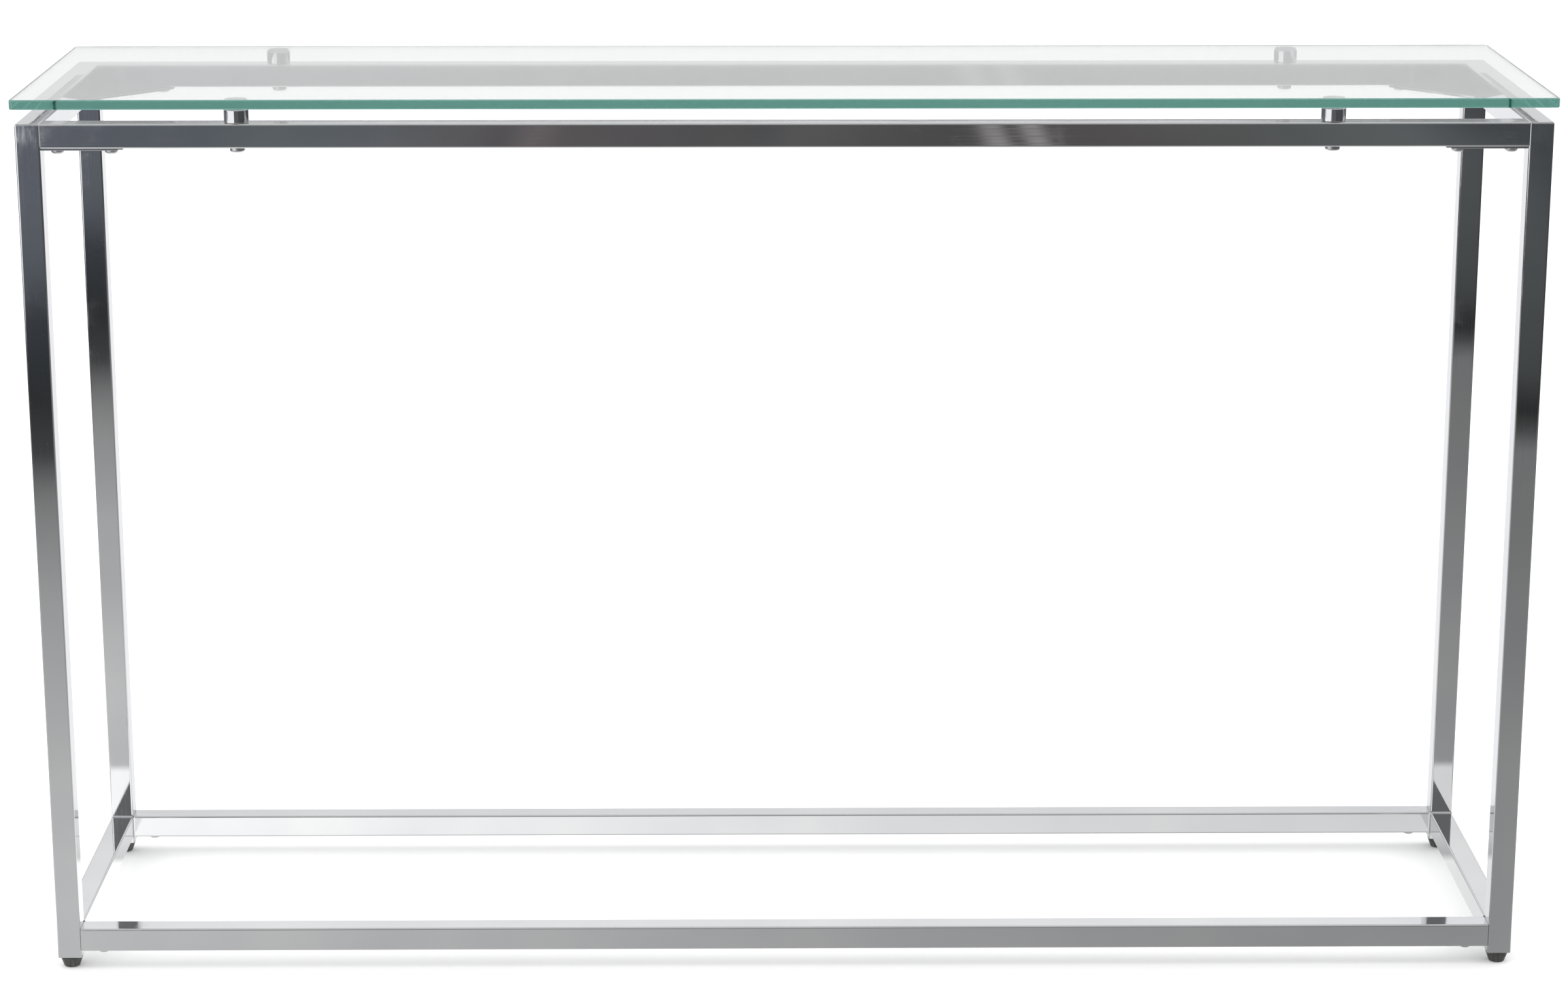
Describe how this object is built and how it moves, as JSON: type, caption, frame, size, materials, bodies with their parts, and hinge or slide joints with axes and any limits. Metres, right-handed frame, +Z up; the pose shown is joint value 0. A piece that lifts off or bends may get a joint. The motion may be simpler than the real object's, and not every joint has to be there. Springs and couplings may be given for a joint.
{
  "type": "console table",
  "caption": "Narrow console table with a clear glass top on round stand-offs, a chromed square tube frame with low side and long rails, and levelling feet.",
  "frame": {"origin": "on the floor, under the middle of the table", "axes": "+X right along the table, +Y to the back, +Z up"},
  "size_m": [1.25, 0.31, 0.748],
  "materials": {
    "glass": "clear, polished green edge",
    "bond": "clear, satin",
    "chrome": "bright plated",
    "plain_steel": "mill finish",
    "zinc": "zinc plated",
    "black_plastic": "moulded",
    "foot_plastic": "moulded, slightly scuffed"
  },
  "bodies": {
    "table": {"bottom_rail_screws": "zinc", "corner_plate_rivet_nuts": "zinc", "corner_plate_screws": "zinc", "front_bottom_rail": "chrome", "front_left_bond_disc": "bond", "front_left_corner_plate": "chrome", "front_left_insert_nut": "zinc", "front_left_leg": "chrome", "front_left_leg_insert": "black_plastic", "front_left_spigot": "plain_steel", "front_left_standoff": "chrome", "front_right_bond_disc": "bond", "front_right_corner_plate": "chrome", "front_right_insert_nut": "zinc", "front_right_leg": "chrome", "front_right_leg_insert": "black_plastic", "front_right_spigot": "plain_steel", "front_right_standoff": "chrome", "front_top_rail": "chrome", "glass_top": "glass", "left_bottom_side_rail": "chrome", "left_top_side_rail": "chrome", "rear_bottom_rail": "chrome", "rear_left_bond_disc": "bond", "rear_left_corner_plate": "chrome", "rear_left_insert_nut": "zinc", "rear_left_leg": "chrome", "rear_left_leg_insert": "black_plastic", "rear_left_spigot": "plain_steel", "rear_left_standoff": "chrome", "rear_right_bond_disc": "bond", "rear_right_corner_plate": "chrome", "rear_right_insert_nut": "zinc", "rear_right_leg": "chrome", "rear_right_leg_insert": "black_plastic", "rear_right_spigot": "plain_steel", "rear_right_standoff": "chrome", "rear_top_rail": "chrome", "right_bottom_side_rail": "chrome", "right_top_side_rail": "chrome", "standoff_screws": "zinc"},
    "front_left_foot": {"front_left_foot_base": "foot_plastic", "front_left_foot_stem": "zinc"},
    "front_right_foot": {"front_right_foot_base": "foot_plastic", "front_right_foot_stem": "zinc"},
    "rear_left_foot": {"rear_left_foot_base": "foot_plastic", "rear_left_foot_stem": "zinc"},
    "rear_right_foot": {"rear_right_foot_base": "foot_plastic", "rear_right_foot_stem": "zinc"}
  },
  "joints": [
    {"name": "front_left_foot_adjust", "type": "slide", "parent": "table", "child": "front_left_foot", "axis": [0, 0, -1], "range_m": [0, 0.008]},
    {"name": "front_right_foot_adjust", "type": "slide", "parent": "table", "child": "front_right_foot", "axis": [0, 0, -1], "range_m": [0, 0.008]},
    {"name": "rear_left_foot_adjust", "type": "slide", "parent": "table", "child": "rear_left_foot", "axis": [0, 0, -1], "range_m": [0, 0.008]},
    {"name": "rear_right_foot_adjust", "type": "slide", "parent": "table", "child": "rear_right_foot", "axis": [0, 0, -1], "range_m": [0, 0.008]}
  ]
}
